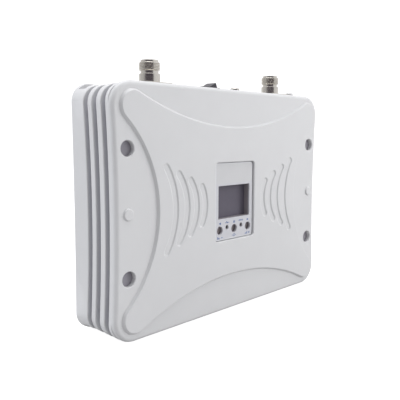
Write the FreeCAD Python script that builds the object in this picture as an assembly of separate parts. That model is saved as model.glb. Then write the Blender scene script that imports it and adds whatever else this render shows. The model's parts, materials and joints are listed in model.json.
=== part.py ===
import FreeCAD, Part
import math
import os

from FreeCAD import Vector

# Cellular signal booster for a wall: a finned cast case with a waisted outline, a raised relief
# on the cover, a small display with three keys, and two coaxial connectors, a rocker switch and
# a power jack on the top. Millimetres. X runs across the face, Y from front to back, Z up.
# The origin is under the middle of the case, on the level it stands on.

os.makedirs("parts", exist_ok=True)

# ---------------------------------------------------------------- driving dimensions
CASE_WIDTH = 248.0
CASE_HEIGHT = 186.0
CASE_DEPTH = 50.0
FRONT_Y = -24.0
MID_Z = CASE_HEIGHT / 2

WAIST = 2.2
WAIST_AT_BACK = 0.4
COVER_CORNER = 18.0
CASE_CORNER = 13.5
RIB_DROP = 2.0
COVER_ROUND = 3.4
RIB_ROUND = 0.8
GROOVE = 5.2
LAND_HALF = 100.0
LAND_STOP = 1.6

SPLIT = 4.0
LIP_END = 7.6
GASKET_OUTER = 2.8
GASKET_INNER = 3.9
RIB_SPANS = ((12.5, 18.4), (23.5, 29.0))
REAR_START = 34.0
FLOOR = 46.0
COVER_SKIN = 2.9

RELIEF = 2.0
RELIEF_SLOPE = 0.8
RELIEF_EDGE = 0.6
RELIEF_TOP_RADIUS = 229.0
RELIEF_TOP_CENTRE = 290.8
RELIEF_SIDE_RADIUS = 93.0
RELIEF_SIDE_CENTRE = 177.5
RELIEF_LOBE = 11.0

# inner edge at the middle, then the end point, of each arc beside the display
SIGNAL_ARCS = ((36.3, 40.2, 14.8), (45.8, 52.6, 20.7), (56.0, 64.8, 26.1), (68.0, 77.2, 31.7))
ARC_FLOOR_HALF = 2.0
ARC_MOUTH_HALF = 3.2
ARC_DEPTH = 0.8

SCREW_X = 111.0
SCREW_Z = 46.0
SCREW_WELL = 5.65
SCREW_WELL_FLOOR = 6.2
SCREW_HEAD = 4.6
PLUG = 5.62
PLUG_FACE = 3.5
PLUG_BACK = 4.8

WINDOW_HALF = 24.4
WINDOW_Z = (MID_Z - 32.1, MID_Z + 33.0)
WINDOW_FLOOR = 1.1
WINDOW_ROUND = 0.9
OVERLAY = 1.4
OVERLAY_GAP = 0.55
OVERLAY_SIDE_GAP = 1.1
LCD_Z = MID_Z - 0.1
LCD_VIEW = (19.7, 13.8)
KEY_X = (-17.8, 0.0, 17.8)
KEY_NAMES = ("left", "middle", "right")
KEY_Z = MID_Z - 23.25
KEY_GUIDE = 3.55
KEY_CAP = 3.48
KEY_FACE = 2.7
LAMP_X = 8.9
LAMP_Z = MID_Z - 21.3
LCD_FACE = 5.6
LCD_BACK = 7.6
DISPLAY_BOARD = 9.6
BOARD = 1.6

PORT_DEPTH = 20.9
COAX_X = 74.0
COAX_TOP = 18.1
COAX_FLANGE = 1.2
COAX_THREAD = 7.94
JACK_X = 23.5
JACK_NUT = 5.9
SWITCH_X = -13.5
ROCKER_PIVOT = 1.0
ROCKER_REACH = 8.2
ROCKER_TILT = 14.0
WALL_UNDER_PORTS = 5.0

GROUND_SCREW = (95.0, 13.0)
TRUNNION = 1.0
TRUNNION_GAP = 0.06
PADDLE_HALF = 5.35

MAIN_BOARD = 36.4
MAIN_HALF = 98.0
MAIN_Z = (17.0, 157.0)
POSTS = ((-92.0, 25.0), (9.0, 25.0), (92.0, 25.0), (-92.0, 149.0), (9.0, 149.0), (92.0, 149.0))
CAN_X = (-86.0, -14.0)
CAN_HEIGHT = 7.0
CAN_Z = ((90.0, 140.0), (34.0, 84.0))
LID = 0.5
CHIP_HEIGHT = 1.5
DUPLEXER_X = (16.0, 84.0)
DUPLEXER_HEIGHT = 12.0
DUPLEXER_Z = (104.0, 34.0)
TUNER_X = (24.0, 37.0, 50.0, 63.0, 76.0)
TUNER = 1.5
CAPACITOR_X = (46.0, 58.0, 70.0)
CAPACITOR = 4.0
POWER_ROW_Z = 86.0
HEADER_Z = (142.0, 150.0)
HEADER_HEIGHT = 8.0
SPREADER = (-84.0, -20.0, 92.0, 136.0)
PAD_THICKNESS = 0.5
JUMPER = 1.1
JUMPER_TOP = 170.0
JUMPER_BEND = 7.0
JUMPER_BEND_END = 149.6
JUMPER_TAIL = 8.6
WIRE = 0.8
WIRE_BEND = 5.75
JACK_LUG_OFFSET = 3.5
JACK_LUG_END = 163.0
SWITCH_BLADE_OFFSET = 5.0
SWITCH_BLADE_END = 164.0
LABEL_HALF = (42.0, 27.0)
LABEL_RECESS = 0.3


# ---------------------------------------------------------------- helpers
def back(depth):
    """Y of a plane this far behind the flat front face."""
    return FRONT_Y + depth


def block(x0, x1, d0, d1, z0, z1):
    return Part.makeBox(x1 - x0, d1 - d0, z1 - z0, Vector(x0, back(d0), z0))


def rod_in(x, z, radius, d0, d1):
    """Cylinder running from front to back."""
    return Part.makeCylinder(radius, d1 - d0, Vector(x, back(d0), z), Vector(0, 1, 0))


def rod_up(x, depth, radius, z0, z1):
    """Cylinder running upward."""
    return Part.makeCylinder(radius, z1 - z0, Vector(x, back(depth), z0), Vector(0, 0, 1))


def cone_in(x, z, r0, r1, d0, d1):
    return Part.makeCone(r0, r1, d1 - d0, Vector(x, back(d0), z), Vector(0, 1, 0))


def cone_up(x, depth, r0, r1, z0, z1):
    return Part.makeCone(r0, r1, z1 - z0, Vector(x, back(depth), z0), Vector(0, 0, 1))


def edges_on(shape, axis, value):
    """Edges that lie wholly at one value of x, y or z."""
    found = []
    for edge in shape.Edges:
        if all(abs(vertex.Point[axis] - value) < 1e-5 for vertex in edge.Vertexes):
            found.append(edge)
    return found


def edges_along(shape, axis):
    """Straight edges parallel to one axis."""
    found = []
    for edge in shape.Edges:
        ends = [vertex.Point for vertex in edge.Vertexes]
        if len(ends) == 2 and all(abs(ends[0][i] - ends[1][i]) < 1e-6 for i in range(3) if i != axis):
            found.append(edge)
    return found


def plate(x0, x1, z0, z1, radius, d0, d1):
    """Flat plate facing the front, with rounded corners."""
    body = block(x0, x1, d0, d1, z0, z1)
    return body.makeFillet(radius, edges_along(body, 1))


def pad(x0, x1, d0, d1, radius, z0, z1):
    """Flat plate facing up, with rounded corners."""
    body = block(x0, x1, d0, d1, z0, z1)
    return body.makeFillet(radius, edges_along(body, 2))


def join(shapes):
    return shapes[0].multiFuse(shapes[1:]).removeSplitter()


def arc(first, middle, last):
    return Part.Arc(first, middle, last).toShape()


def line(first, last):
    return Part.makeLine(first, last)


def save(node, shapes):
    if isinstance(shapes, list):
        shape = Part.makeCompound(shapes)
    else:
        shape = shapes
    shape.exportStep("parts/" + node + ".step")


# ---------------------------------------------------------------- case outline
def case_wire(depth, inset, corner, waist, drop=0.0):
    """Outline with rounded corners, straight top and bottom, and sides that curve inward."""
    half_x = CASE_WIDTH / 2 - inset
    half_z = CASE_HEIGHT / 2 - inset - drop
    radius = corner - inset
    y = back(depth)
    rise = half_z - radius
    reach = (rise * rise + waist * waist) / (2 * waist)
    side_centre = half_x - radius - waist + reach
    lean = math.atan2(rise, side_centre - (half_x - radius))
    touch_x = half_x - radius + radius * math.cos(lean)
    touch_z = rise - radius * math.sin(lean)
    bend = radius * math.sqrt(0.5)

    def at(x, z):
        return Vector(x, y, MID_Z + z)

    edges = []
    edges.append(line(at(radius - half_x, half_z), at(half_x - radius, half_z)))
    edges.append(arc(at(half_x - radius, half_z), at(half_x - radius + bend, rise + bend),
                     at(touch_x, touch_z)))
    edges.append(arc(at(touch_x, touch_z), at(half_x - waist, 0), at(touch_x, -touch_z)))
    edges.append(arc(at(touch_x, -touch_z), at(half_x - radius + bend, -rise - bend),
                     at(half_x - radius, -half_z)))
    edges.append(line(at(half_x - radius, -half_z), at(radius - half_x, -half_z)))
    edges.append(arc(at(radius - half_x, -half_z), at(radius - half_x - bend, -rise - bend),
                     at(-touch_x, -touch_z)))
    edges.append(arc(at(-touch_x, -touch_z), at(waist - half_x, 0), at(-touch_x, touch_z)))
    edges.append(arc(at(-touch_x, touch_z), at(radius - half_x - bend, rise + bend),
                     at(radius - half_x, half_z)))
    return Part.Wire(edges)


def case_slab(d0, d1, inset, corner, drop=0.0):
    face = Part.Face(case_wire(d0, inset, corner, WAIST, drop))
    return face.extrude(Vector(0, d1 - d0, 0))


def soft_rib(d0, d1, round_front):
    slab = case_slab(d0, d1, 0.0, CASE_CORNER, RIB_DROP)
    rims = edges_on(slab, 1, back(d1))
    if round_front:
        rims = rims + edges_on(slab, 1, back(d0))
    return slab.makeFillet(RIB_ROUND, rims)


def case_screw_places():
    return [(sx * SCREW_X, MID_Z + sz * SCREW_Z) for sx in (-1, 1) for sz in (-1, 1)]


# ---------------------------------------------------------------- front cover
def relief_wire(depth, grow):
    """Four shallow concave arcs joined by convex lobes near the corners."""
    y = back(depth)
    top_r = RELIEF_TOP_RADIUS - grow
    side_r = RELIEF_SIDE_RADIUS - grow
    lobe_r = RELIEF_LOBE + grow
    to_top = RELIEF_TOP_RADIUS + RELIEF_LOBE
    to_side = RELIEF_SIDE_RADIUS + RELIEF_LOBE
    span = math.hypot(RELIEF_SIDE_CENTRE, RELIEF_TOP_CENTRE)
    along = (to_top ** 2 - to_side ** 2 + span ** 2) / (2 * span)
    off = math.sqrt(to_top ** 2 - along ** 2)
    ux = RELIEF_SIDE_CENTRE / span
    uz = -RELIEF_TOP_CENTRE / span
    lobe_x = ux * along + uz * off
    lobe_z = RELIEF_TOP_CENTRE + uz * along - ux * off
    if lobe_z < 0 or lobe_x < 0:
        lobe_x = ux * along - uz * off
        lobe_z = RELIEF_TOP_CENTRE + uz * along + ux * off
    t1x = -lobe_x / to_top
    t1z = (RELIEF_TOP_CENTRE - lobe_z) / to_top
    t2x = (RELIEF_SIDE_CENTRE - lobe_x) / to_side
    t2z = -lobe_z / to_side
    out = math.hypot(t1x + t2x, t1z + t2z)
    ox = (t1x + t2x) / out
    oz = (t1z + t2z) / out

    def at(x, z):
        return Vector(x, y, MID_Z + z)

    upper = (lobe_x + lobe_r * t1x, lobe_z + lobe_r * t1z)
    outer = (lobe_x + lobe_r * ox, lobe_z + lobe_r * oz)
    lower = (lobe_x + lobe_r * t2x, lobe_z + lobe_r * t2z)
    dip_z = RELIEF_TOP_CENTRE - top_r
    dip_x = RELIEF_SIDE_CENTRE - side_r
    edges = []
    edges.append(arc(at(-upper[0], upper[1]), at(0, dip_z), at(upper[0], upper[1])))
    edges.append(arc(at(upper[0], upper[1]), at(outer[0], outer[1]), at(lower[0], lower[1])))
    edges.append(arc(at(lower[0], lower[1]), at(dip_x, 0), at(lower[0], -lower[1])))
    edges.append(arc(at(lower[0], -lower[1]), at(outer[0], -outer[1]), at(upper[0], -upper[1])))
    edges.append(arc(at(upper[0], -upper[1]), at(0, -dip_z), at(-upper[0], -upper[1])))
    edges.append(arc(at(-upper[0], -upper[1]), at(-outer[0], -outer[1]), at(-lower[0], -lower[1])))
    edges.append(arc(at(-lower[0], -lower[1]), at(-dip_x, 0), at(-lower[0], lower[1])))
    edges.append(arc(at(-lower[0], lower[1]), at(-outer[0], outer[1]), at(-upper[0], upper[1])))
    return Part.Wire(edges)


def signal_arc_wire(side, inner, end_x, end_z, depth, half):
    """Curved slot outline of one arc, with round ends."""
    run = end_x - inner
    radius = (run * run + end_z * end_z) / (2 * run)
    centre = inner + radius
    sweep = math.asin(end_z / radius)
    y = back(depth)

    def at(reach, angle, slide):
        x = centre - reach * math.cos(angle) + slide * math.sin(angle)
        z = reach * math.sin(angle) + slide * math.cos(angle)
        return Vector(side * x, y, MID_Z + z)

    edges = []
    edges.append(arc(at(radius - half, -sweep, 0), at(radius - half, 0, 0), at(radius - half, sweep, 0)))
    edges.append(arc(at(radius - half, sweep, 0), at(radius, sweep, half), at(radius + half, sweep, 0)))
    edges.append(arc(at(radius + half, sweep, 0), at(radius + half, 0, 0), at(radius + half, -sweep, 0)))
    edges.append(arc(at(radius + half, -sweep, 0), at(radius, -sweep, -half), at(radius - half, -sweep, 0)))
    return Part.Wire(edges)


def make_front_cover():
    slab = case_slab(0.0, SPLIT, 0.0, COVER_CORNER)
    shell = slab.makeFillet(COVER_ROUND, edges_on(slab, 1, back(0.0)))
    low = relief_wire(0.0, RELIEF_SLOPE)
    high = relief_wire(-RELIEF, -RELIEF_SLOPE)
    relief = Part.makeLoft([low, high], True, True)
    relief = relief.makeFillet(RELIEF_EDGE, edges_on(relief, 1, back(-RELIEF)))
    inside = plate(-110, 110, 9, CASE_HEIGHT - 9, 8, COVER_SKIN, SPLIT)
    parts = [shell.cut(inside), relief]
    for x, z in case_screw_places():
        parts.append(rod_in(x, z, 7.25, COVER_SKIN - 0.5, LIP_END))
    for side in (-1, 1):
        stud = cone_in(side * SCREW_X, MID_Z, 3.7, 4.8, -1.2, 0.3)
        parts.append(stud.makeFillet(0.5, edges_on(stud, 1, back(-1.2))))
    for x, z in display_screw_places():
        parts.append(rod_in(x, z, 3.0, COVER_SKIN - 0.5, DISPLAY_BOARD))
    cover = join(parts)

    cuts = []
    for x, z in case_screw_places():
        cuts.append(rod_in(x, z, SCREW_WELL, -2, SCREW_WELL_FLOOR))
        cuts.append(cone_in(x, z, SCREW_WELL + 0.5, SCREW_WELL, 0, 0.5))
        cuts.append(rod_in(x, z, 2.2, SCREW_WELL_FLOOR - 1, LIP_END + 1))
    for side in (-1, 1):
        for inner, end_x, end_z in SIGNAL_ARCS:
            mouth = signal_arc_wire(side, inner, end_x, end_z, -RELIEF - 0.2, ARC_MOUTH_HALF + 0.2)
            floor = signal_arc_wire(side, inner, end_x, end_z, -RELIEF + ARC_DEPTH, ARC_FLOOR_HALF)
            cuts.append(Part.makeLoft([mouth, floor], True, True))
    cuts.append(plate(-WINDOW_HALF, WINDOW_HALF, WINDOW_Z[0], WINDOW_Z[1], 3, -RELIEF - 1, WINDOW_FLOOR))
    cuts.append(plate(-21.2, 21.2, LCD_Z - 15.3, LCD_Z + 15.3, 1.5, 0, SPLIT))
    for x in KEY_X:
        cuts.append(rod_in(x, KEY_Z, 4.3, 0, SPLIT))
    for x in (-LAMP_X, LAMP_X):
        cuts.append(rod_in(x, LAMP_Z, 2.6, 0, SPLIT))
    for x, z in display_screw_places():
        cuts.append(rod_in(x, z, 1.02, SPLIT + 1, DISPLAY_BOARD + 1))
    cover = cover.cut(Part.makeCompound(cuts))
    rim = []
    for edge in edges_on(cover, 1, back(-RELIEF)):
        box = edge.BoundBox
        near = max(abs(box.XMin), abs(box.XMax)) < WINDOW_HALF + 0.2
        if near and WINDOW_Z[0] - 0.2 < box.ZMin and box.ZMax < WINDOW_Z[1] + 0.2:
            rim.append(edge)
    return cover.makeFillet(WINDOW_ROUND, rim)


# ---------------------------------------------------------------- rear housing
def rear_section():
    front = case_wire(REAR_START, 0.0, CASE_CORNER, WAIST, RIB_DROP)
    rear = case_wire(CASE_DEPTH, 0.0, CASE_CORNER, WAIST_AT_BACK)
    body = Part.makeLoft([front, rear], True, True)
    rims = edges_on(body, 1, back(REAR_START)) + edges_on(body, 1, back(CASE_DEPTH))
    return body.makeFillet(RIB_ROUND, rims)


def bracket_slots():
    """Round-ended pockets on the rear corners, where a wall bracket hooks in."""
    slots = []
    for side in (-1, 1):
        for z0, z1 in ((-1.0, 4.6), (CASE_HEIGHT - 4.6, CASE_HEIGHT + 1.0)):
            inner = rod_up(side * 98, 42.0, 4.0, z0, z1)
            run = block(min(side * 98, side * 126), max(side * 98, side * 126), 38, 46, z0, z1)
            slots.append(inner.fuse(run))
    return slots


def coax_screw_places():
    places = []
    for x in (-COAX_X, COAX_X):
        for dx in (-9.12, 9.12):
            for dd in (-9.12, 9.12):
                places.append((x + dx, PORT_DEPTH + dd))
    return places


def make_rear_housing():
    parts = [case_slab(SPLIT, REAR_START + 1, GROOVE, CASE_CORNER, RIB_DROP)]
    parts.append(soft_rib(SPLIT, LIP_END, False))
    for d0, d1 in RIB_SPANS:
        parts.append(soft_rib(d0, d1, True))
    parts.append(rear_section())
    parts.append(block(-LAND_HALF, LAND_HALF, SPLIT, CASE_DEPTH - LAND_STOP, 0, CASE_HEIGHT))
    shell = join(parts)

    ceiling = CASE_HEIGHT - WALL_UNDER_PORTS
    wide = plate(-110, 110, 9, CASE_HEIGHT - 9, 8, SPLIT - 1, FLOOR)
    tall = plate(-88, 88, WALL_UNDER_PORTS, ceiling, 4, SPLIT - 1, FLOOR)
    shell = shell.cut(wide.fuse(tall))

    posts = [shell]
    for x, z in case_screw_places():
        posts.append(rod_in(x, z, 7.0, LIP_END, FLOOR + 1))
    for x, z in POSTS:
        posts.append(cone_in(x, z, 3.6, 4.6, MAIN_BOARD + BOARD, FLOOR + 0.5))
    shell = join(posts)

    cuts = bracket_slots()
    outer = case_slab(SPLIT - 1, SPLIT + 1.0, GASKET_OUTER, CASE_CORNER)
    inner = case_slab(SPLIT - 1, SPLIT + 1.0, GASKET_INNER, CASE_CORNER)
    cuts.append(outer.cut(inner))
    for x, z in case_screw_places():
        cuts.append(rod_in(x, z, 7.5, SPLIT - 1, LIP_END))
        cuts.append(rod_in(x, z, 2.02, LIP_END - 1, 26))
    for x, z in POSTS:
        cuts.append(rod_in(x, z, 1.52, MAIN_BOARD, FLOOR - 1))
    for x in (-COAX_X, COAX_X):
        cuts.append(rod_up(x, PORT_DEPTH, 6.15, ceiling - 1, CASE_HEIGHT + 1))
    for x, depth in coax_screw_places():
        cuts.append(rod_up(x, depth, 1.52, ceiling - 1, CASE_HEIGHT + 1))
    cuts.append(rod_up(JACK_X, PORT_DEPTH, 4.0, ceiling - 1, CASE_HEIGHT + 1))
    cuts.append(block(SWITCH_X - 9.8, SWITCH_X + 9.8, PORT_DEPTH - 6.5, PORT_DEPTH + 6.5,
                      ceiling - 1, CASE_HEIGHT + 1))
    cuts.append(rod_up(GROUND_SCREW[0], GROUND_SCREW[1], 2.02, CASE_HEIGHT - 7, CASE_HEIGHT + 1))
    cuts.append(label_plate(0, CASE_DEPTH + 1))
    return shell.cut(Part.makeCompound(cuts))


def label_plate(gap, depth):
    half_x, half_z = LABEL_HALF
    return plate(gap - half_x, half_x - gap, MID_Z - half_z + gap, MID_Z + half_z - gap, 3 - gap,
                 CASE_DEPTH - LABEL_RECESS, depth)


def make_gasket():
    outer = case_slab(SPLIT, SPLIT + 1.0, GASKET_OUTER + 0.05, CASE_CORNER)
    return outer.cut(case_slab(SPLIT, SPLIT + 1.0, GASKET_INNER - 0.05, CASE_CORNER))


# ---------------------------------------------------------------- fasteners
def cross_slot(x, z, length, d0, d1):
    wide = block(x - length / 2, x + length / 2, d0, d1, z - 0.5, z + 0.5)
    tall = block(x - 0.5, x + 0.5, d0, d1, z - length / 2, z + length / 2)
    return wide.fuse(tall)


def screw_in(x, z, shank, head, head_d0, head_d1, end, faces_front=True):
    """Pan-head screw that runs from front to back."""
    cap = rod_in(x, z, head, head_d0, head_d1)
    outer = head_d0
    slot = (head_d0 - 0.1, head_d0 + 0.55 * (head_d1 - head_d0))
    if not faces_front:
        outer = head_d1
        slot = (head_d1 - 0.55 * (head_d1 - head_d0), head_d1 + 0.1)
    cap = cap.makeFillet(0.35 * (head_d1 - head_d0), edges_on(cap, 1, back(outer)))
    if faces_front:
        stem = rod_in(x, z, shank, head_d1 - 0.1, end)
    else:
        stem = rod_in(x, z, shank, end, head_d0 + 0.1)
    return cap.fuse(stem).removeSplitter().cut(cross_slot(x, z, head * 1.1, slot[0], slot[1]))


def make_plug(x, z):
    """Soft round plug that hides a case screw at the bottom of its well."""
    body = rod_in(x, z, PLUG, PLUG_FACE, PLUG_BACK)
    return body.makeFillet(0.3, edges_on(body, 1, back(PLUG_FACE)))


# ---------------------------------------------------------------- display
def window_holes(radius_key, radius_lamp, d0, d1):
    holes = [rod_in(x, KEY_Z, radius_key, d0, d1) for x in KEY_X]
    holes = holes + [rod_in(x, LAMP_Z, radius_lamp, d0, d1) for x in (-LAMP_X, LAMP_X)]
    return holes


def make_overlay():
    half = WINDOW_HALF - OVERLAY_SIDE_GAP
    sheet = plate(-half, half, WINDOW_Z[0] + OVERLAY_GAP, WINDOW_Z[1] - OVERLAY_GAP, 3 - OVERLAY_GAP,
                  WINDOW_FLOOR - OVERLAY, WINDOW_FLOOR)
    view = plate(-LCD_VIEW[0], LCD_VIEW[0], LCD_Z - LCD_VIEW[1], LCD_Z + LCD_VIEW[1], 0.6, -1, 3)
    return sheet.cut(Part.makeCompound([view] + window_holes(3.5, 1.85, -1, 3)))


def make_bezel():
    """Dark moulding behind the cover: a frame for the display and guides for keys and lamps."""
    parts = [plate(-28.5, 28.5, MID_Z - 29.5, MID_Z + 20, 2, COVER_SKIN, LCD_FACE)]
    parts.append(plate(-21.0, 21.0, LCD_Z - 15.1, LCD_Z + 15.1, 1.3, WINDOW_FLOOR, COVER_SKIN + 1))
    parts = parts + window_holes(4.2, 2.5, WINDOW_FLOOR, COVER_SKIN + 1)
    body = join(parts)
    view = plate(-LCD_VIEW[0], LCD_VIEW[0], LCD_Z - LCD_VIEW[1], LCD_Z + LCD_VIEW[1], 0.6, 0, 7)
    return body.cut(Part.makeCompound([view] + window_holes(KEY_GUIDE, 1.95, 0, 7)))


def make_key_cap(x):
    cap = rod_in(x, KEY_Z, KEY_CAP, KEY_FACE, LCD_FACE + 0.1)
    cap = cap.makeFillet(0.4, edges_on(cap, 1, back(KEY_FACE)))
    return cap.fuse(rod_in(x, KEY_Z, 4.4, LCD_FACE, LCD_FACE + 1.0)).removeSplitter()


def make_key_switch(x):
    body = block(x - 3, x + 3, LCD_FACE + 2.0, DISPLAY_BOARD, KEY_Z - 3, KEY_Z + 3)
    return body.cut(rod_in(x, KEY_Z, 1.75, LCD_FACE + 1.5, LCD_FACE + 2.85))


def make_lamp(x):
    dome = Part.makeSphere(1.5, Vector(x, back(4.5), LAMP_Z))
    stem = rod_in(x, LAMP_Z, 1.5, 4.5, DISPLAY_BOARD)
    rim = rod_in(x, LAMP_Z, 1.9, DISPLAY_BOARD - 1, DISPLAY_BOARD)
    return join([dome, stem, rim])


def lcd_block(half_x, half_z, d0, d1):
    return block(-half_x, half_x, d0, d1, LCD_Z - half_z, LCD_Z + half_z)


def make_lcd_frame():
    ring = plate(-23.8, 23.8, LCD_Z - 18.2, LCD_Z + 18.2, 1, LCD_FACE, DISPLAY_BOARD)
    return ring.cut(lcd_block(22.6, 17.1, LCD_FACE - 1, DISPLAY_BOARD + 1))


def display_screw_places():
    return [(x, z) for x in (-32, 32) for z in (MID_Z - 33, MID_Z + 27)]


def make_display_board():
    board = plate(-36, 36, MID_Z - 37, MID_Z + 31, 2, DISPLAY_BOARD, DISPLAY_BOARD + BOARD)
    holes = [rod_in(x, z, 1.2, 8, 13) for x, z in display_screw_places()]
    return board.cut(Part.makeCompound(holes))


def make_ribbon():
    """Flat cable that steps down between the two boards, seen from the side."""
    def at(depth, z):
        return Vector(-6, back(depth), z)

    half = 0.3
    near = 5.5 + half
    tight = 5.5 - half
    turn = math.sqrt(0.5)
    edges = []
    edges.append(line(at(15.2, 61 + half), at(18, 61 + half)))
    edges.append(arc(at(18, 55.5 + near), at(18 + near * turn, 55.5 + near * turn), at(18 + near, 55.5)))
    edges.append(arc(at(29 - tight, 55.5), at(29 - tight * turn, 55.5 - tight * turn), at(29, 55.5 - tight)))
    edges.append(line(at(29, 50 + half), at(31.4, 50 + half)))
    edges.append(line(at(31.4, 50 + half), at(31.4, 50 - half)))
    edges.append(line(at(31.4, 50 - half), at(29, 50 - half)))
    edges.append(arc(at(29, 55.5 - near), at(29 - near * turn, 55.5 - near * turn), at(29 - near, 55.5)))
    edges.append(arc(at(18 + tight, 55.5), at(18 + tight * turn, 55.5 + tight * turn), at(18, 55.5 + tight)))
    edges.append(line(at(18, 61 - half), at(15.2, 61 - half)))
    edges.append(line(at(15.2, 61 - half), at(15.2, 61 + half)))
    return Part.Face(Part.Wire(edges)).extrude(Vector(12, 0, 0))


def make_ribbon_headers():
    upper = block(-8, 8, DISPLAY_BOARD + BOARD, 15.2, 58.5, 63.5)
    lower = block(-8, 8, 31.4, MAIN_BOARD, 47, 53)
    return [upper, lower]


# ---------------------------------------------------------------- boards and electronics
def make_main_board():
    board = plate(-MAIN_HALF, MAIN_HALF, MAIN_Z[0], MAIN_Z[1], 3, MAIN_BOARD, MAIN_BOARD + BOARD)
    return board.cut(Part.makeCompound([rod_in(x, z, 1.6, 35, 39) for x, z in POSTS]))


def make_can(z0, z1):
    """Shield frame soldered to the board, open to the front and split by a middle wall."""
    x0, x1 = CAN_X
    middle = (x0 + x1) / 2
    front = MAIN_BOARD - CAN_HEIGHT
    outer = plate(x0, x1, z0, z1, 1.5, front, MAIN_BOARD)
    left = block(x0 + 1, middle - 0.5, front - 1, MAIN_BOARD + 1, z0 + 1, z1 - 1)
    right = block(middle + 0.5, x1 - 1, front - 1, MAIN_BOARD + 1, z0 + 1, z1 - 1)
    return outer.cut(left.fuse(right))


def make_can_lid(z0, z1):
    x0, x1 = CAN_X
    back_face = MAIN_BOARD - CAN_HEIGHT
    lid = plate(x0, x1, z0, z1, 1.5, back_face - LID, back_face)
    holes = []
    for step in range(8):
        for z in (z0 + 8, z1 - 8):
            holes.append(rod_in(x0 + 6 + 8 * step, z, 1.2, back_face - 1, back_face + 1))
    return lid.cut(Part.makeCompound(holes))


def make_chips(z):
    chips = []
    for x, half in ((-70, 8), (-32, 6)):
        chips.append(block(x - 8, x + 8, MAIN_BOARD - CHIP_HEIGHT, MAIN_BOARD, z - half, z + half))
    return chips


def tuning_places(z0):
    return [(x, z0 + 17) for x in TUNER_X]


def make_duplexer(z0):
    front = MAIN_BOARD - DUPLEXER_HEIGHT
    body = plate(DUPLEXER_X[0], DUPLEXER_X[1], z0, z0 + 34, 2, front, MAIN_BOARD)
    body = body.makeFillet(0.8, edges_on(body, 1, back(front)))
    holes = [rod_in(x, z, TUNER + 0.02, front - 1, front + 6.6) for x, z in tuning_places(z0)]
    return body.cut(Part.makeCompound(holes))


def make_tuner(x, z):
    """Slotted screw that stands a little out of a filter block."""
    head = MAIN_BOARD - DUPLEXER_HEIGHT - 1.8
    body = rod_in(x, z, TUNER, head, head + 7.4)
    return body.cut(block(x - 2, x + 2, head - 1, head + 0.6, z - 0.3, z + 0.3))


def make_capacitor(x):
    can = rod_in(x, POWER_ROW_Z, CAPACITOR, MAIN_BOARD - 11, MAIN_BOARD)
    return can.makeFillet(0.6, edges_on(can, 1, back(MAIN_BOARD - 11)))


def make_inductor():
    front = MAIN_BOARD - 6
    coil = plate(24, 36, POWER_ROW_Z - 6, POWER_ROW_Z + 6, 2, front, MAIN_BOARD)
    return coil.makeFillet(0.8, edges_on(coil, 1, back(front)))


def make_header(x0, x1):
    return block(x0, x1, MAIN_BOARD - HEADER_HEIGHT, MAIN_BOARD, HEADER_Z[0], HEADER_Z[1])


def step_path(x, z0, z1, radius, d0):
    """Path that drops, steps back by two quarter bends, and drops again."""
    turn = radius * math.sqrt(0.5)

    def at(depth, z):
        return Vector(x, back(depth), z)

    middle = d0 + radius
    edges = [line(at(d0, z0), at(d0, z1 + 2 * radius))]
    edges.append(arc(at(d0, z1 + 2 * radius), at(middle - turn, z1 + 2 * radius - turn),
                     at(middle, z1 + radius)))
    edges.append(arc(at(middle, z1 + radius), at(middle + turn, z1 + turn), at(middle + radius, z1)))
    return edges


def make_wire_run(x, z0, bend_end, bend, thickness, tail):
    """Round wire or tube from under a port to the board."""
    edges = step_path(x, z0, bend_end, bend, PORT_DEPTH)
    landing = back(PORT_DEPTH + 2 * bend)
    if tail > 0:
        edges.append(line(Vector(x, landing, bend_end), Vector(x, landing, bend_end - tail)))
    ring = Part.makeCircle(thickness, Vector(x, back(PORT_DEPTH), z0), Vector(0, 0, -1))
    return Part.Wire(edges).makePipeShell([Part.Wire([ring])], True, False)


# ---------------------------------------------------------------- top ports
def make_coax_body(x):
    """Panel jack: square flange, barrel, neck, threaded band and rim, with a tail in the case."""
    top = CASE_HEIGHT
    flange = pad(x - 12.7, x + 12.7, PORT_DEPTH - 12.7, PORT_DEPTH + 12.7, 1.2, top, top + COAX_FLANGE)
    parts = [flange]
    parts.append(rod_up(x, PORT_DEPTH, 8.0, top + COAX_FLANGE / 2, top + 7.3))
    parts.append(cone_up(x, PORT_DEPTH, 8.0, 7.4, top + 7.3, top + 7.9))
    parts.append(rod_up(x, PORT_DEPTH, 6.75, top + 7, top + 10.5))
    parts.append(cone_up(x, PORT_DEPTH, 7.3, COAX_THREAD, top + 10.0, top + 10.6))
    parts.append(rod_up(x, PORT_DEPTH, COAX_THREAD, top + 10.6, top + 16.3))
    parts.append(rod_up(x, PORT_DEPTH, 7.25, top + 16.2, top + COAX_TOP - 0.5))
    parts.append(cone_up(x, PORT_DEPTH, 7.25, 6.75, top + COAX_TOP - 0.5, top + COAX_TOP))
    parts.append(rod_up(x, PORT_DEPTH, 6.1, top - 10, top + 1))
    body = join(parts)
    cuts = [rod_up(x, PORT_DEPTH, 4.3, top - 11, top + COAX_TOP + 1)]
    cuts.append(cone_up(x, PORT_DEPTH, 4.3, 5.1, top + COAX_TOP - 0.8, top + COAX_TOP))
    for sx, depth in coax_screw_places():
        if abs(sx - x) < 13:
            cuts.append(rod_up(sx, depth, 1.6, top - 1, top + 3))
            cuts.append(cone_up(sx, depth, 1.5, 2.6, top + 0.1, top + COAX_FLANGE))
    return body.cut(Part.makeCompound(cuts))


def make_coax_clamp(x):
    """Small block that solders the end of a jumper to the board."""
    centre = PORT_DEPTH + 2 * JUMPER_BEND
    body = block(x - 3, x + 3, centre - 1.8, MAIN_BOARD, 142, 147)
    return body.cut(rod_up(x, centre, JUMPER, 140, 150))


def make_coax_insulator(x):
    top = CASE_HEIGHT
    body = rod_up(x, PORT_DEPTH, 4.3, top - 10, top + 7.5)
    return body.cut(rod_up(x, PORT_DEPTH, 1.1, top - 11, top + 8))


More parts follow.
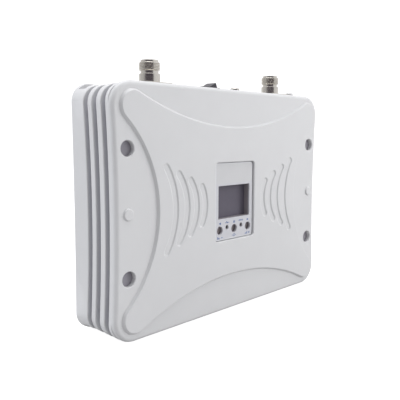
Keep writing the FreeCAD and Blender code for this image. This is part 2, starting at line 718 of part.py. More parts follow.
def make_coax_contact(x):
    """Centre socket with a cross slit, on a pin that ends at the jumper."""
    top = CASE_HEIGHT
    socket = rod_up(x, PORT_DEPTH, 1.55, top + 7.5, top + 13.0)
    pin = rod_up(x, PORT_DEPTH, 1.1, top - 16, top + 8)
    y = back(PORT_DEPTH)
    slit_a = Part.makeBox(4, 0.3, 4, Vector(x - 2, y - 0.15, top + 9.5))
    slit_b = Part.makeBox(0.3, 4, 4, Vector(x - 0.15, y - 2, top + 9.5))
    hole = rod_up(x, PORT_DEPTH, 0.85, top + 8.5, top + 14)
    return socket.fuse(pin).removeSplitter().cut(Part.makeCompound([slit_a.fuse(slit_b).fuse(hole)]))


def make_flange_screw(x, depth):
    top = CASE_HEIGHT
    head = cone_up(x, depth, 1.5, 2.55, top + 0.1, top + COAX_FLANGE - 0.05)
    body = head.fuse(rod_up(x, depth, 1.5, top - 4.5, top + 0.1)).removeSplitter()
    slot = Part.makeBox(3.8, 0.6, 1.0, Vector(x - 1.9, back(depth) - 0.3, top + 0.65))
    return body.cut(slot)


def make_jack_nose():
    top = CASE_HEIGHT
    tube = rod_up(JACK_X, PORT_DEPTH, 3.95, top - WALL_UNDER_PORTS, top + 3.5)
    tube = tube.makeChamfer(0.35, edges_on(tube, 2, top + 3.5))
    return tube.cut(rod_up(JACK_X, PORT_DEPTH, 3.0, top - 6, top + 4))


def make_jack_nut():
    top = CASE_HEIGHT
    corners = []
    for step in range(7):
        angle = math.radians(60 * step + 30)
        x = JACK_X + JACK_NUT * math.cos(angle)
        corners.append(Vector(x, back(PORT_DEPTH) + JACK_NUT * math.sin(angle), top))
    hexagon = Part.Face(Part.makePolygon(corners)).extrude(Vector(0, 0, 1.7))
    rounded = hexagon.common(cone_up(JACK_X, PORT_DEPTH, 6.8, 5.2, top, top + 1.7))
    return rounded.cut(rod_up(JACK_X, PORT_DEPTH, 3.95, top - 1, top + 3))


def make_jack_body():
    ceiling = CASE_HEIGHT - WALL_UNDER_PORTS
    body = pad(JACK_X - 5.5, JACK_X + 5.5, PORT_DEPTH - 5.5, PORT_DEPTH + 5.5, 1.0, ceiling - 12, ceiling)
    body = body.cut(rod_up(JACK_X, PORT_DEPTH, 3.0, ceiling - 9, ceiling + 1))
    return body.cut(rod_up(JACK_X, PORT_DEPTH, 1.0, ceiling - 13, ceiling + 1))


# ---------------------------------------------------------------- rocker switch
def rocker_point(angle, reach):
    """Point at an angle above the horizontal, in the plane across the pivot."""
    turn = math.radians(angle)
    pivot_z = CASE_HEIGHT + ROCKER_PIVOT
    x = SWITCH_X + reach * math.cos(turn)
    return Vector(x, back(PORT_DEPTH - PADDLE_HALF), pivot_z + reach * math.sin(turn))


def make_rocker():
    """Two-faced paddle at rest with its right end up, held on two short trunnions."""
    corner = math.degrees(math.asin(1.2 / ROCKER_REACH))
    right = corner + 2 * ROCKER_TILT
    left = 180 - corner
    valley = 1.2 / math.cos(math.radians(ROCKER_TILT))
    edges = []
    edges.append(line(rocker_point(left, ROCKER_REACH), rocker_point(90 + ROCKER_TILT, valley)))
    edges.append(line(rocker_point(90 + ROCKER_TILT, valley), rocker_point(right, ROCKER_REACH)))
    edges.append(arc(rocker_point(right, ROCKER_REACH), rocker_point(10, ROCKER_REACH),
                     rocker_point(-12, ROCKER_REACH)))
    edges.append(line(rocker_point(-12, ROCKER_REACH), rocker_point(-58, 5.7)))
    edges.append(line(rocker_point(-58, 5.7), rocker_point(-94, 5.7)))
    edges.append(line(rocker_point(-94, 5.7), rocker_point(-140, ROCKER_REACH)))
    edges.append(arc(rocker_point(-140, ROCKER_REACH), rocker_point(-165, ROCKER_REACH),
                     rocker_point(left, ROCKER_REACH)))
    paddle = Part.Face(Part.Wire(edges)).extrude(Vector(0, 2 * PADDLE_HALF, 0))
    z = CASE_HEIGHT + ROCKER_PIVOT
    pin = rod_in(SWITCH_X, z, TRUNNION, PORT_DEPTH - PADDLE_HALF - 0.8, PORT_DEPTH + PADDLE_HALF + 0.8)
    return paddle.fuse(pin).removeSplitter()


def make_switch_body():
    top = CASE_HEIGHT
    flange = pad(SWITCH_X - 10.6, SWITCH_X + 10.6, PORT_DEPTH - 7.5, PORT_DEPTH + 7.5, 1.2, top, top + 1.8)
    flange = flange.makeChamfer(0.5, edges_on(flange, 2, top + 1.8))
    lower = block(SWITCH_X - 9.7, SWITCH_X + 9.7, PORT_DEPTH - 6.4, PORT_DEPTH + 6.4, top - 14, top + 1)
    body = flange.fuse(lower).removeSplitter()
    side = PADDLE_HALF + 0.1
    well = block(SWITCH_X - 8.32, SWITCH_X + 8.32, PORT_DEPTH - side, PORT_DEPTH + side, top - 10, top + 3)
    body = body.cut(well)
    reach = PADDLE_HALF + 0.9
    bore = TRUNNION + TRUNNION_GAP
    pocket = rod_in(SWITCH_X, top + ROCKER_PIVOT, bore, PORT_DEPTH - reach, PORT_DEPTH + reach)
    return body.cut(pocket)


def make_blade(x, width, z0, z1):
    return block(x - width / 2, x + width / 2, PORT_DEPTH - 0.4, PORT_DEPTH + 0.4, z0, z1)


def make_ground_screw():
    top = CASE_HEIGHT
    x, depth = GROUND_SCREW
    washer = rod_up(x, depth, 4.3, top, top + 0.8)
    head = rod_up(x, depth, 3.5, top + 0.8, top + 3.0)
    head = head.makeFillet(0.8, edges_on(head, 2, top + 3.0))
    stem = rod_up(x, depth, 2.0, top - 6, top + 0.9)
    slot = block(x - 4, x + 4, depth - 0.45, depth + 0.45, top + 2.0, top + 4)
    return join([washer, head, stem]).cut(slot)


# ---------------------------------------------------------------- write every node
save("front_cover", make_front_cover())
save("rear_housing", make_rear_housing())
save("case_gasket", make_gasket())
save("case_screws", [screw_in(x, z, 2.0, SCREW_HEAD, SCREW_WELL_FLOOR - 1.3, SCREW_WELL_FLOOR, 22)
                     for x, z in case_screw_places()])
save("screw_plugs", [make_plug(x, z) for x, z in case_screw_places()])

save("display_overlay", make_overlay())
save("display_bezel", make_bezel())
save("lcd_cell", lcd_block(22.5, 17.0, LCD_FACE, LCD_BACK))
save("lcd_backlight", lcd_block(22.5, 17.0, LCD_BACK, DISPLAY_BOARD))
save("lcd_frame", make_lcd_frame())
save("display_board", make_display_board())
board_back = DISPLAY_BOARD + BOARD
save("display_screws", [screw_in(x, z, 1.0, 2.0, board_back, board_back + 1.4, 5.6, False)
                        for x, z in display_screw_places()])
save("key_switches", [make_key_switch(x) for x in KEY_X])
for key_name, key_x in zip(KEY_NAMES, KEY_X):
    save("key_cap_" + key_name, make_key_cap(key_x))
    save("key_stem_" + key_name, rod_in(key_x, KEY_Z, 1.7, LCD_FACE + 1.0, LCD_FACE + 2.4))
save("run_lamp", make_lamp(-LAMP_X))
save("alarm_lamp", make_lamp(LAMP_X))
save("ribbon_cable", make_ribbon())
save("ribbon_headers", make_ribbon_headers())

save("main_board", make_main_board())
save("main_board_screws", [screw_in(x, z, 1.5, 2.75, MAIN_BOARD - 2, MAIN_BOARD, 44) for x, z in POSTS])
save("shield_can_uplink", make_can(*CAN_Z[0]))
save("shield_can_downlink", make_can(*CAN_Z[1]))
save("shield_lids", [make_can_lid(z0, z1) for z0, z1 in CAN_Z])
save("amplifier_chips", make_chips(115) + make_chips(59))
save("duplexer_outdoor", make_duplexer(DUPLEXER_Z[0]))
save("duplexer_indoor", make_duplexer(DUPLEXER_Z[1]))
save("tuning_screws", [make_tuner(x, z) for z0 in DUPLEXER_Z for x, z in tuning_places(z0)])
save("power_inductor", make_inductor())
save("power_capacitors", [make_capacitor(x) for x in CAPACITOR_X])
save("power_headers", [make_header(18, 32), make_header(-21, -6)])
spread_x0, spread_x1, spread_z0, spread_z1 = SPREADER
pad_face = FLOOR - PAD_THICKNESS
save("heat_spreader", block(spread_x0, spread_x1, MAIN_BOARD + BOARD, pad_face, spread_z0, spread_z1))
save("thermal_pad", block(spread_x0, spread_x1, pad_face, FLOOR, spread_z0, spread_z1))

for side_name, coax_x in (("left", -COAX_X), ("right", COAX_X)):
    save("coax_body_" + side_name, make_coax_body(coax_x))
    save("coax_insulator_" + side_name, make_coax_insulator(coax_x))
    save("coax_contact_" + side_name, make_coax_contact(coax_x))
save("flange_screws", [make_flange_screw(x, depth) for x, depth in coax_screw_places()])
save("coax_jumpers", [make_wire_run(x, JUMPER_TOP, JUMPER_BEND_END, JUMPER_BEND, JUMPER, JUMPER_TAIL)
                      for x in (-COAX_X, COAX_X)])
save("coax_clamps", [make_coax_clamp(x) for x in (-COAX_X, COAX_X)])

jack_lug_x = (JACK_X - JACK_LUG_OFFSET, JACK_X + JACK_LUG_OFFSET)
save("jack_nose", make_jack_nose())
save("jack_nut", make_jack_nut())
save("jack_body", make_jack_body())
save("jack_pin", rod_up(JACK_X, PORT_DEPTH, 1.0, CASE_HEIGHT - 17, CASE_HEIGHT + 2.9))
save("jack_lugs", [make_blade(x, 2.4, JACK_LUG_END, 169) for x in jack_lug_x])
save("jack_leads", [make_wire_run(x, JACK_LUG_END, HEADER_Z[1], WIRE_BEND, WIRE, 0) for x in jack_lug_x])

blade_x = (SWITCH_X - SWITCH_BLADE_OFFSET, SWITCH_X + SWITCH_BLADE_OFFSET)
save("switch_body", make_switch_body())
save("switch_rocker", make_rocker())
save("switch_blades", [make_blade(x, 4.8, SWITCH_BLADE_END, 172) for x in blade_x])
save("switch_leads", [make_wire_run(x, SWITCH_BLADE_END, HEADER_Z[1], WIRE_BEND, WIRE, 0) for x in blade_x])
save("ground_screw", make_ground_screw())
save("rating_label", label_plate(0.2, CASE_DEPTH - 0.05))
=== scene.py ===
import json
import math

import bmesh
import bpy
from mathutils import Matrix, Vector


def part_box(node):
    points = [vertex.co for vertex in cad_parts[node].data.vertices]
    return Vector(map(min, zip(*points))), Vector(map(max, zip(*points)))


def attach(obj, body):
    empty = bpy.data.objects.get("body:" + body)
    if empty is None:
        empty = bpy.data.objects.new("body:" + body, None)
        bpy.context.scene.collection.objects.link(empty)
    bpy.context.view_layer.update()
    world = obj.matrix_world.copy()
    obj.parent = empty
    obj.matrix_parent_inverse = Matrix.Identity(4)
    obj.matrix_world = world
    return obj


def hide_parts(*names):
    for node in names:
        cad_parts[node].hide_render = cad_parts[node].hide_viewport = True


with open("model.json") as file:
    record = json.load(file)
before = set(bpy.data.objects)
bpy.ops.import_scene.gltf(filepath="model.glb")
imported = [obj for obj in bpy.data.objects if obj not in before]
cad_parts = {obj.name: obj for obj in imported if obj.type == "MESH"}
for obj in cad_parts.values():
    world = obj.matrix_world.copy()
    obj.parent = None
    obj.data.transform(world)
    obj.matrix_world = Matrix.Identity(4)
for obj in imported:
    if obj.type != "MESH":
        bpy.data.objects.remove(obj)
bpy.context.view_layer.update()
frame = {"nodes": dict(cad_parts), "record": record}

MM = 0.001
BODY = "case"
case_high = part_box("rear_housing")[1]
overlay_low, overlay_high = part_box("display_overlay")
label_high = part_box("rating_label")[1]

# The camera stands in front and to the left, a little above the middle of the case.
CAMERA_PLACE = (-0.32539, -0.30859, 0.14847)
CAMERA_YAW = -45.0
CAMERA_PITCH = -5.83
CAMERA_ROLL = 0.15
CAMERA_LENS = 46.24
CAMERA_SHIFT_Y = -0.0317

# Directions and strengths of the studio air: dark towards the front left, bright elsewhere.
DARK_TOWARDS = (-0.707, -0.707, 0.0)
DARK_ACROSS = (0.707, -0.707, 0.0)
BEHIND = (0.707, 0.707, 0.0)
DARK_AIR = (0.075, 0.062, 0.082)
BRIGHT_AIR = (0.965, 0.975, 1.0)
WHITE = (1.0, 1.0, 1.0)
LEFT_LIGHT = 0.58
RIGHT_LIGHT = 0.97
SKY_LIGHT = 0.34

# Where each side of the dark quarter starts and ends, as parts of a unit vector.
DARK_LEFT_SIDE = (-0.97, -0.55)
DARK_RIGHT_SIDE = (0.73, 0.79)
DARK_BACK_SIDE = (0.35, 0.60)
DARK_TOP_SIDE = (0.32, 0.50)

# The floor's own glow: as the camera sees it, and as it lights the case from near and from far behind.
SEEN_GLOW = 0.90
NEAR_GLOW = 0.20
FAR_GLOW = 0.65
NEAR_REACH = 0.3
FAR_REACH = 1.2

# Most of a noise texture lies between these values.
NOISE_LOW = 0.3
NOISE_HIGH = 0.7

# Scale of the slow drift in a surface's colour.
MOTTLE = 40.0

# Pointiness where the painted highlight on an edge starts and where it is full.
EDGE_START = 0.54
EDGE_FULL = 0.66

# Open share of a hollow where its painted shade is full and where it ends.
HOLLOW_SHADE_FULL = 0.30
HOLLOW_SHADE_ENDS = 0.64
HOLLOW_SHADE_SAMPLES = 8


# ---------------------------------------------------------------- material building
def node(tree, kind, **inputs):
    """New node with some sockets set; an underscore in a name stands for a space."""
    made = tree.nodes.new(kind)
    for name, value in inputs.items():
        made.inputs[name.replace("_", " ")].default_value = value
    return made


def noise(tree, scale, detail=3.0, stretch=None):
    """Noise in the object's own metres, stretched along an axis where asked."""
    coords = tree.nodes.new("ShaderNodeTexCoord")
    mapping = tree.nodes.new("ShaderNodeMapping")
    mapping.inputs["Scale"].default_value = stretch or (1.0, 1.0, 1.0)
    texture = node(tree, "ShaderNodeTexNoise", Scale=scale, Detail=detail, Roughness=0.55)
    tree.links.new(coords.outputs["Object"], mapping.inputs["Vector"])
    tree.links.new(mapping.outputs["Vector"], texture.inputs["Vector"])
    return texture.outputs["Fac"]


def maths(tree, operation, first, second=None):
    """One step of arithmetic on sockets or plain numbers."""
    made = node(tree, "ShaderNodeMath")
    made.operation = operation
    for socket, value in zip(made.inputs, (first, second)):
        if isinstance(value, float):
            socket.default_value = value
        elif value is not None:
            tree.links.new(value, socket)
    return made.outputs["Value"]


def ramp_between(tree, value, first, second, low, high):
    """Value carried from the range first to second over to low to high, and held at its ends."""
    ramp = node(tree, "ShaderNodeMapRange", From_Min=first, From_Max=second, To_Min=low, To_Max=high)
    tree.links.new(value, ramp.inputs["Value"])
    return ramp.outputs["Result"]


def spread(tree, value, low, high):
    """Noise stretched over the whole of a range."""
    return ramp_between(tree, value, NOISE_LOW, NOISE_HIGH, low, high)


def blend_colour(tree, factor, first, second):
    """Mix of two colours, each a socket or a plain colour."""
    made = tree.nodes.new("ShaderNodeMix")
    made.data_type = "RGBA"
    for socket, value in ((made.inputs[6], first), (made.inputs[7], second)):
        if isinstance(value, tuple):
            socket.default_value = value + (1.0,)
        else:
            tree.links.new(value, socket)
    tree.links.new(factor, made.inputs[0])
    return made.outputs[2]


def shade(colour, factor):
    return tuple(min(1.0, channel * factor) for channel in colour)


def edge_highlight_mask(tree):
    """Mask for a painted highlight: one on sharp convex edges and zero elsewhere."""
    geometry = tree.nodes.new("ShaderNodeNewGeometry")
    return ramp_between(tree, geometry.outputs["Pointiness"], EDGE_START, EDGE_FULL, 0.0, 1.0)


def surface(name, colour, roughness, metallic=0.0, grain=900.0, grain_depth=0.00002,
            contrast=0.05, stretch=None, edge=None, specular=0.5):
    """Principled surface with colour drift, uneven gloss, fine grain and, where an edge colour is given, a
    painted highlight on sharp edges.
    """
    material = bpy.data.materials.new(name)
    material.use_nodes = True
    tree = material.node_tree
    shader = tree.nodes["Principled BSDF"]
    shader.inputs["Metallic"].default_value = metallic
    shader.inputs["Specular IOR Level"].default_value = specular
    drift = spread(tree, noise(tree, MOTTLE, 4.0), 0.0, 1.0)
    paint = blend_colour(tree, drift, shade(colour, 1.0 - contrast), shade(colour, 1.0 + contrast))
    # A lighter colour on sharp convex edges is a painted highlight.
    if edge is not None:
        paint = blend_colour(tree, edge_highlight_mask(tree), paint, edge)
    tree.links.new(paint, shader.inputs["Base Color"])
    gloss = spread(tree, noise(tree, MOTTLE * 3.0, 3.0), roughness * 0.85, roughness * 1.15)
    tree.links.new(gloss, shader.inputs["Roughness"])
    bump = tree.nodes.new("ShaderNodeBump")
    bump.inputs["Strength"].default_value = 0.6
    bump.inputs["Distance"].default_value = grain_depth
    tree.links.new(noise(tree, grain, 2.0, stretch), bump.inputs["Height"])
    tree.links.new(bump.outputs["Normal"], shader.inputs["Normal"])
    return material


def painted_hollow_shade(material, colour, reach):
    """Painted shade: a darker, bluer tone in narrow hollows, standing in for the shade that falls there."""
    tree = material.node_tree
    shader = tree.nodes["Principled BSDF"]
    paint = shader.inputs["Base Color"].links[0].from_socket
    hollow = tree.nodes.new("ShaderNodeAmbientOcclusion")
    hollow.samples = HOLLOW_SHADE_SAMPLES
    hollow.only_local = True
    hollow.inputs["Distance"].default_value = reach
    open_share = ramp_between(tree, hollow.outputs["AO"], HOLLOW_SHADE_FULL, HOLLOW_SHADE_ENDS, 0.0, 1.0)
    # Painted shade colour mixed in where a hollow is closed in.
    tree.links.new(blend_colour(tree, open_share, colour, paint), shader.inputs["Base Color"])
    return material


OVERLAY_MARGIN = 0.9 * MM
LOWER_FIELD = 108.5 * MM
OVERLAY_GREY = (0.585, 0.585, 0.595)
OVERLAY_VIOLET = (0.575, 0.575, 0.605)
OVERLAY_PALE = (0.66, 0.665, 0.69)


def overlay_surface():
    """Printed film: a paler margin, a grey upper field and a faintly violet lower field."""
    material = surface("overlay_film", OVERLAY_GREY, 0.38, grain=2500.0, contrast=0.012)
    tree = material.node_tree
    shader = tree.nodes["Principled BSDF"]
    paint = shader.inputs["Base Color"].links[0].from_socket
    coords = tree.nodes.new("ShaderNodeTexCoord")
    split = tree.nodes.new("ShaderNodeSeparateXYZ")
    tree.links.new(coords.outputs["Object"], split.inputs["Vector"])
    margins = []
    for axis, low, high in (("X", overlay_low.x, overlay_high.x), ("Z", overlay_low.z, overlay_high.z)):
        offset = maths(tree, "SUBTRACT", split.outputs[axis], (low + high) / 2)
        reach = maths(tree, "ABSOLUTE", offset)
        margins.append(maths(tree, "GREATER_THAN", reach, (high - low) / 2 - OVERLAY_MARGIN))
    border = maths(tree, "MAXIMUM", margins[0], margins[1])
    lower = maths(tree, "LESS_THAN", split.outputs["Z"], LOWER_FIELD)
    fields = blend_colour(tree, lower, paint, OVERLAY_VIOLET)
    tree.links.new(blend_colour(tree, border, fields, OVERLAY_PALE), shader.inputs["Base Color"])
    return material


MATERIALS = {
    # The case paint carries a painted highlight on sharp edges and painted shade in narrow hollows.
    "case_paint": painted_hollow_shade(
        surface("case_paint", (0.64, 0.64, 0.646), 0.34, grain=1400.0, grain_depth=0.00002,
                contrast=0.012, edge=(0.72, 0.72, 0.73)), (0.43, 0.43, 0.47), 7.0 * MM),
    "gasket_rubber": surface("gasket_rubber", (0.05, 0.05, 0.05), 0.8),
    "screw_steel": surface("screw_steel", (0.42, 0.42, 0.44), 0.38, 1.0, stretch=(1, 6, 1)),
    "plug_grey": surface("plug_grey", (0.27, 0.26, 0.29), 0.7, grain=3000.0, contrast=0.06),
    "overlay_film": overlay_surface(),
    "bezel_black": surface("bezel_black", (0.29, 0.265, 0.285), 0.5),
    "lcd_glass": surface("lcd_glass", (0.118, 0.108, 0.136), 0.4, grain=60.0, contrast=0.03, specular=0.25),
    "white_plastic": surface("white_plastic", (0.80, 0.80, 0.78), 0.45),
    "plain_steel": surface("plain_steel", (0.56, 0.56, 0.57), 0.35, 1.0, stretch=(8, 1, 1)),
    "board_green": surface("board_green", (0.02, 0.13, 0.06), 0.35, contrast=0.15),
    "switch_black": surface("switch_black", (0.025, 0.025, 0.027), 0.4),
    "lamp_green": surface("lamp_green", (0.10, 0.30, 0.12), 0.15, contrast=0.1),
    "lamp_red": surface("lamp_red", (0.38, 0.05, 0.04), 0.15, contrast=0.1),
    "ribbon_grey": surface("ribbon_grey", (0.50, 0.51, 0.53), 0.5, stretch=(30, 1, 1)),
    "header_cream": surface("header_cream", (0.72, 0.67, 0.55), 0.45),
    "chip_black": surface("chip_black", (0.03, 0.03, 0.033), 0.55),
    "bare_aluminium": surface("bare_aluminium", (0.62, 0.63, 0.64), 0.32, 1.0, stretch=(1, 1, 12)),
    "brass_plain": surface("brass_plain", (0.65, 0.48, 0.22), 0.3, 1.0, stretch=(1, 10, 1)),
    "capacitor_sleeve": surface("capacitor_sleeve", (0.03, 0.04, 0.08), 0.3),
    "thermal_rubber": surface("thermal_rubber", (0.35, 0.40, 0.55), 0.7),
    "nickel_plate": surface("nickel_plate", (0.62, 0.59, 0.54), 0.22, 1.0, stretch=(1, 1, 14)),
    "ptfe_white": surface("ptfe_white", (0.82, 0.82, 0.80), 0.5),
    "gold_contact": surface("gold_contact", (0.80, 0.58, 0.24), 0.25, 1.0),
    "copper_tube": surface("copper_tube", (0.75, 0.38, 0.22), 0.3, 1.0),
    "wire_red": surface("wire_red", (0.45, 0.03, 0.03), 0.5),
    "rocker_black": surface("rocker_black", (0.032, 0.027, 0.036), 0.3),
    "label_silver": surface("label_silver", (0.55, 0.56, 0.58), 0.35),
    "key_dark": surface("key_dark", (0.33, 0.295, 0.30), 0.4),
}


def dress_frame():
    slots = {entry["node"]: entry["material_slot"] for entry in frame["record"]["subparts"]}
    for name, piece in frame["nodes"].items():
        piece.data.materials.clear()
        piece.data.materials.append(MATERIALS[slots[name]])


dress_frame()
frame["nodes"]["ground_screw"].data.materials[0] = surface(
    "zinc_plate", (0.74, 0.74, 0.73), 0.45, 0.35, stretch=(1, 6, 1))


# ---------------------------------------------------------------- mesh building
def add_piece(name, build, material, smooth=35.0):
    """Object made from a mesh build, with sharp edges above an angle, riding the case."""
    bmesh.ops.recalc_face_normals(build, faces=build.faces)
    mesh = bpy.data.meshes.new(name)
    build.to_mesh(mesh)
    build.free()
    mesh.materials.append(material)
    for polygon in mesh.polygons:
        polygon.use_smooth = True
    piece = bpy.data.objects.new(name, mesh)
    bpy.context.scene.collection.objects.link(piece)
    mesh.set_sharp_from_angle(angle=math.radians(smooth))
    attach(piece, BODY)
    return piece


def ring(build, centre, radii, height):
    """Loop of points round a vertical axis; radii gives one reach for each point."""
    points = []
    count = len(radii)
    for step, reach in enumerate(radii):
        angle = 2 * math.pi * step / count
        place = (centre[0] + reach * math.cos(angle), centre[1] + reach * math.sin(angle), height)
        points.append(build.verts.new(place))
    return points


def skin(build, first, second):
    """Band of faces between two closed loops of the same length."""
    count = len(first)
    for step in range(count):
        after = (step + 1) % count
        build.faces.new((first[step], first[after], second[after], second[step]))


# ---------------------------------------------------------------- coaxial connectors
# Sizes are in millimetres, and heights are above the case.
TURNS = 120
THREAD_PITCH = 1.058
THREAD_CREST = 7.94
THREAD_DEPTH = 0.42
THREAD_LOW = 10.1
THREAD_HIGH = 16.5
THREAD_STEPS = 96
# Width of one flank of the thread, as a share of the pitch.
FLANK = 0.2
# Length and depth of the rounding at each end of the thread.
END_LENGTH = 1.0
END_DROP = 1.19

FLANGE_HALF = 12.7
FLANGE_CORNER = 1.2
FLANGE_HOLE_AT = 9.12
# Height, half width and hole radius at each level of a flange.
FLANGE_LEVELS = (
    (0.0, FLANGE_HALF, 1.6), (0.1, FLANGE_HALF, 1.6), (1.0, FLANGE_HALF, 2.4),
    (1.14, FLANGE_HALF - 0.06, 2.6), (1.2, FLANGE_HALF - 0.2, 2.7))
CORNER_STEPS = 5
HOLE_STEPS = 32
QUARTERS = ((1, 1), (-1, 1), (-1, -1), (1, -1))


def thread_reach(height, share):
    """Reach of the threaded band at a height, at a share of a turn, with softly rounded ends."""
    phase = abs((height / THREAD_PITCH - share) % 1.0 - 0.5)
    groove = max(0.0, 1.0 - phase / FLANK)
    thread = THREAD_CREST - THREAD_DEPTH * groove
    end = min(height - THREAD_LOW, THREAD_HIGH - height)
    drop = 0.0
    if end < END_LENGTH:
        drop = END_DROP * (1.0 - math.sqrt(max(0.0, 1.0 - (1.0 - end / END_LENGTH) ** 2)))
    return min(thread, THREAD_CREST - drop)


def make_connector(node_name):
    """Turned body with a cut thread, rounded rim and bore, on a square flange with sunk holes.

    Each pair of the profile and the crown is a reach and a height above the case.
    """
    low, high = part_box(node_name)
    centre = ((low.x + high.x) / 2, (low.y + high.y) / 2)
    floor = case_high.z

    build = bmesh.new()
    profile = [(4.3, -10.0), (6.1, -10.0), (6.1, 0.4), (7.95, 0.6), (8.0, 7.72), (7.92, 7.82), (7.8, 7.85)]
    profile += [(6.9, 7.86), (6.8, 7.9), (6.75, 8.0), (6.75, 9.9), (6.75, 10.08)]
    rows = [([reach * MM] * TURNS, floor + height * MM) for reach, height in profile]
    for step in range(THREAD_STEPS + 1):
        height = THREAD_LOW + (THREAD_HIGH - THREAD_LOW) * step / THREAD_STEPS
        radii = [thread_reach(height, turn / TURNS) * MM for turn in range(TURNS)]
        rows.append((radii, floor + height * MM))
    crown = [(6.75, 16.52), (6.75, 16.8), (6.75, 17.75), (6.68, 17.95), (6.5, 18.07), (6.3, 18.1)]
    crown += [(5.4, 18.1), (5.15, 18.0), (5.05, 17.8), (4.45, 17.3), (4.3, 17.0), (4.3, 7.0)]
    rows += [([reach * MM] * TURNS, floor + height * MM) for reach, height in crown]
    rings = [ring(build, centre, radii, height) for radii, height in rows]
    for first, second in zip(rings, rings[1:] + rings[:1]):
        skin(build, first, second)
    barrel = add_piece(node_name.replace("coax_body", "connector"), build, MATERIALS["nickel_plate"],
                       smooth=24.0)
    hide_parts(node_name)
    make_flange(node_name, centre, floor)


def rounded_square(half, corner):
    """Outline of a square plate, counted from its right rear corner."""
    points = []
    for quarter, (sx, sy) in enumerate(QUARTERS):
        for step in range(CORNER_STEPS + 1):
            angle = math.radians(90 * quarter + 90 * step / CORNER_STEPS)
            points.append((sx * (half - corner) + corner * math.cos(angle),
                           sy * (half - corner) + corner * math.sin(angle)))
    return points


def make_flange(node_name, centre, floor):
    """Square plate with four holes that widen towards the top for the screw heads."""
    build = bmesh.new()
    outline = []
    holes = [[] for corner in QUARTERS]
    for height, reach, bore in FLANGE_LEVELS:
        level = floor + height * MM
        corner = FLANGE_CORNER - (FLANGE_HALF - reach)
        outline.append([build.verts.new((centre[0] + x * MM, centre[1] + y * MM, level))
                        for x, y in rounded_square(reach, corner)])
        for loops, (sx, sy) in zip(holes, QUARTERS):
            place = (centre[0] + sx * FLANGE_HOLE_AT * MM, centre[1] + sy * FLANGE_HOLE_AT * MM)
            loops.append(ring(build, place, [bore * MM] * HOLE_STEPS, level))
    for loops in [outline] + holes:
        for first, second in zip(loops, loops[1:]):
            skin(build, first, second)
    for level in (0, -1):
        edges = []
        for loops in [outline] + holes:
            loop = loops[level]
            for step in range(len(loop)):
                edges.append(build.edges.get((loop[step], loop[(step + 1) % len(loop)])))
        bmesh.ops.triangle_fill(build, use_beauty=True, use_dissolve=False, edges=edges)
    add_piece(node_name.replace("coax_body", "flange"), build, MATERIALS["nickel_plate"],
              smooth=30.0)


make_connector("coax_body_left")
make_connector("coax_body_right")


# ---------------------------------------------------------------- printed marks
# Places and sizes of the marks are in millimetres, and X and Z are those of the case.
INK = 0.04 * MM
DISC_SIDES = 20
LINE = 0.42
PRINT_BLUE = surface("print_blue", (0.05, 0.115, 0.31), 0.5, grain=4000.0, contrast=0.08)
PRINT_GREY = surface("print_grey", (0.06, 0.06, 0.065), 0.5, grain=4000.0, contrast=0.08)
KEY_ROW = 69.75
LAMP_ROW = 71.7
LABEL_RIGHT = 34.0
LABEL_TOP_LINE = 112.0


def bar(x0, x1, z0, z1):
    return [(x0, z0), (x1, z0), (x1, z1), (x0, z1)]


def stroke(points, width):
    """Four-sided pieces along a bent line."""
    pieces = []
    for (x0, z0), (x1, z1) in zip(points, points[1:]):
        length = math.hypot(x1 - x0, z1 - z0)
        nx = -(z1 - z0) / length * width / 2
        nz = (x1 - x0) / length * width / 2
        pieces.append([(x0 + nx, z0 + nz), (x0 - nx, z0 - nz), (x1 - nx, z1 - nz), (x1 + nx, z1 + nz)])
    return pieces


def shifted(shapes, x, z):
    return [[(px + x, pz + z) for px, pz in shape] for shape in shapes]


def disc(x, z, radius):
    angles = [2 * math.pi * step / DISC_SIDES for step in range(DISC_SIDES)]
    return [(x + radius * math.cos(angle), z + radius * math.sin(angle)) for angle in angles]


def ring_mark(x, z, radius, width):
    points = disc(x, z, radius)
    return stroke(points + points[:1], width)


def print_on(name, shapes, face, outward, material):
    """Thin ink shapes that stand a hair out of a flat face across Y."""
    build = bmesh.new()
    for shape in shapes:
        inner = [build.verts.new((x * MM, face, z * MM)) for x, z in shape]
        outer = [build.verts.new((x * MM, face + outward * INK, z * MM)) for x, z in shape]
        build.faces.new(inner)
        build.faces.new(outer)
        skin(build, inner, outer)
    return add_piece(name, build, material)


